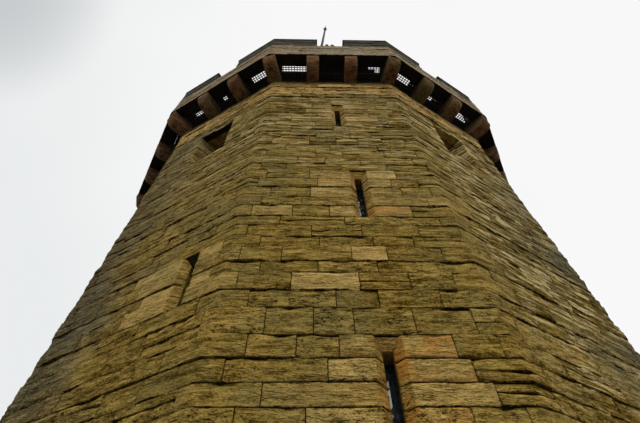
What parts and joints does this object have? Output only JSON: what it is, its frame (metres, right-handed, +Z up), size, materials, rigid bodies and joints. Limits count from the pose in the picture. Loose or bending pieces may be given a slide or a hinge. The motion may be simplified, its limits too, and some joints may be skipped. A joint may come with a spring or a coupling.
{
  "type": "twelve-sided castle keep",
  "caption": "Hollow twelve-sided stone keep with splayed loops, a battered plinth and a crenellated parapet carried on corbels over grated machicolation holes.",
  "frame": {"origin": "on the ground at the middle of the tower", "axes": "+Z up, -Y out of the front face, +X to the right seen from the front"},
  "size_m": [12.4562, 12.4562, 18.714],
  "materials": {
    "wall_stone": "eroded bedded sandstone, yellow-brown",
    "dark_wall_stone": "the same sandstone, darker and damp",
    "band_stone": "paler sandstone",
    "corbel_stone": "red-brown sandstone",
    "parapet_stone": "greyer weathered sandstone",
    "coping_stone": "almost black weathered coping",
    "flag_stone": "worn grey flags",
    "oak": "rough old oak",
    "leaded_glass": "small leaded panes",
    "grating_iron": "dull dark iron",
    "black_iron": "matt black"
  },
  "bodies": {
    "root": {"plinth": "dark_wall_stone", "band_course": "band_stone", "wall_head": "wall_stone", "ground_paving": "flag_stone", "door_surround": "wall_stone", "first_floor_beams": "oak", "first_floor_boards": "oak", "second_floor_beams": "oak", "second_floor_boards": "oak", "third_floor_beams": "oak", "third_floor_boards": "oak", "roof_beams": "oak", "roof_flags": "flag_stone", "wall_walk": "flag_stone", "parapet_lip": "parapet_stone", "parapet_wall": "parapet_stone", "crenel_sills": "parapet_stone", "merlons": "parapet_stone", "merlon_copings": "coping_stone", "loop_glass": "leaded_glass", "window_glass": "leaded_glass", "crenel_pole": "black_iron", "sill_stones": "coping_stone", "hole_boards": "oak", "front_wall": "wall_stone", "front_right_wall": "wall_stone", "right_front_wall": "wall_stone", "right_wall": "wall_stone", "right_back_wall": "wall_stone", "back_right_wall": "wall_stone", "back_wall": "wall_stone", "back_left_wall": "wall_stone", "left_back_wall": "wall_stone", "left_wall": "wall_stone", "left_front_wall": "wall_stone", "front_left_wall": "wall_stone", "front_corbels": "corbel_stone", "front_gratings": "grating_iron", "right_corbels": "corbel_stone", "right_gratings": "grating_iron", "back_corbels": "corbel_stone", "back_gratings": "grating_iron", "left_corbels": "corbel_stone", "left_gratings": "grating_iron"}
  },
  "joints": []
}
